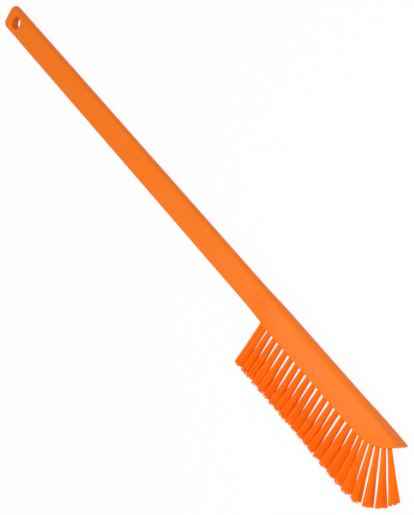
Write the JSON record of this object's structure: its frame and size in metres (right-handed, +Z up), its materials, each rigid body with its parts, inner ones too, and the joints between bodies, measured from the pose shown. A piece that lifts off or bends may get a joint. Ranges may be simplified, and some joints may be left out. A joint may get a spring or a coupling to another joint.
{
  "type": "long-handled washing brush",
  "caption": "Slim long-handled washing brush: flat moulded handle with a hanging hole, thicker narrow head and a row of stiff bristle tufts that fan out round the pointed tip.",
  "frame": {"origin": "under the middle of the brush's box, on the surface that its head lies on", "axes": "+X along the brush from the handle's end to the tip, +Y from the bristles towards the spine, +Z up through the thickness"},
  "size_m": [0.6234, 0.066, 0.013],
  "materials": {
    "body_plastic": "satin moulded orange polypropylene",
    "filament": "stiff orange polyester filament",
    "anchor_steel": "plain stainless steel strip"
  },
  "bodies": {
    "root": {"brush_body": "body_plastic", "tuft_01": "filament", "tuft_02": "filament", "tuft_03": "filament", "tuft_04": "filament", "tuft_05": "filament", "tuft_06": "filament", "tuft_07": "filament", "tuft_08": "filament", "tuft_09": "filament", "tuft_10": "filament", "tuft_11": "filament", "tuft_12": "filament", "tuft_13": "filament", "tuft_14": "filament", "tuft_15": "filament", "tuft_16": "filament", "tuft_17": "filament", "tuft_18": "filament", "tuft_19": "filament", "tuft_20": "filament", "tuft_21": "filament", "tuft_22": "filament", "tuft_23": "filament", "tuft_24": "filament", "anchor_01": "anchor_steel", "anchor_02": "anchor_steel", "anchor_03": "anchor_steel", "anchor_04": "anchor_steel", "anchor_05": "anchor_steel", "anchor_06": "anchor_steel", "anchor_07": "anchor_steel", "anchor_08": "anchor_steel", "anchor_09": "anchor_steel", "anchor_10": "anchor_steel", "anchor_11": "anchor_steel", "anchor_12": "anchor_steel", "anchor_13": "anchor_steel", "anchor_14": "anchor_steel", "anchor_15": "anchor_steel", "anchor_16": "anchor_steel", "anchor_17": "anchor_steel", "anchor_18": "anchor_steel", "anchor_19": "anchor_steel", "anchor_20": "anchor_steel", "anchor_21": "anchor_steel", "anchor_22": "anchor_steel", "anchor_23": "anchor_steel", "anchor_24": "anchor_steel"}
  },
  "joints": []
}
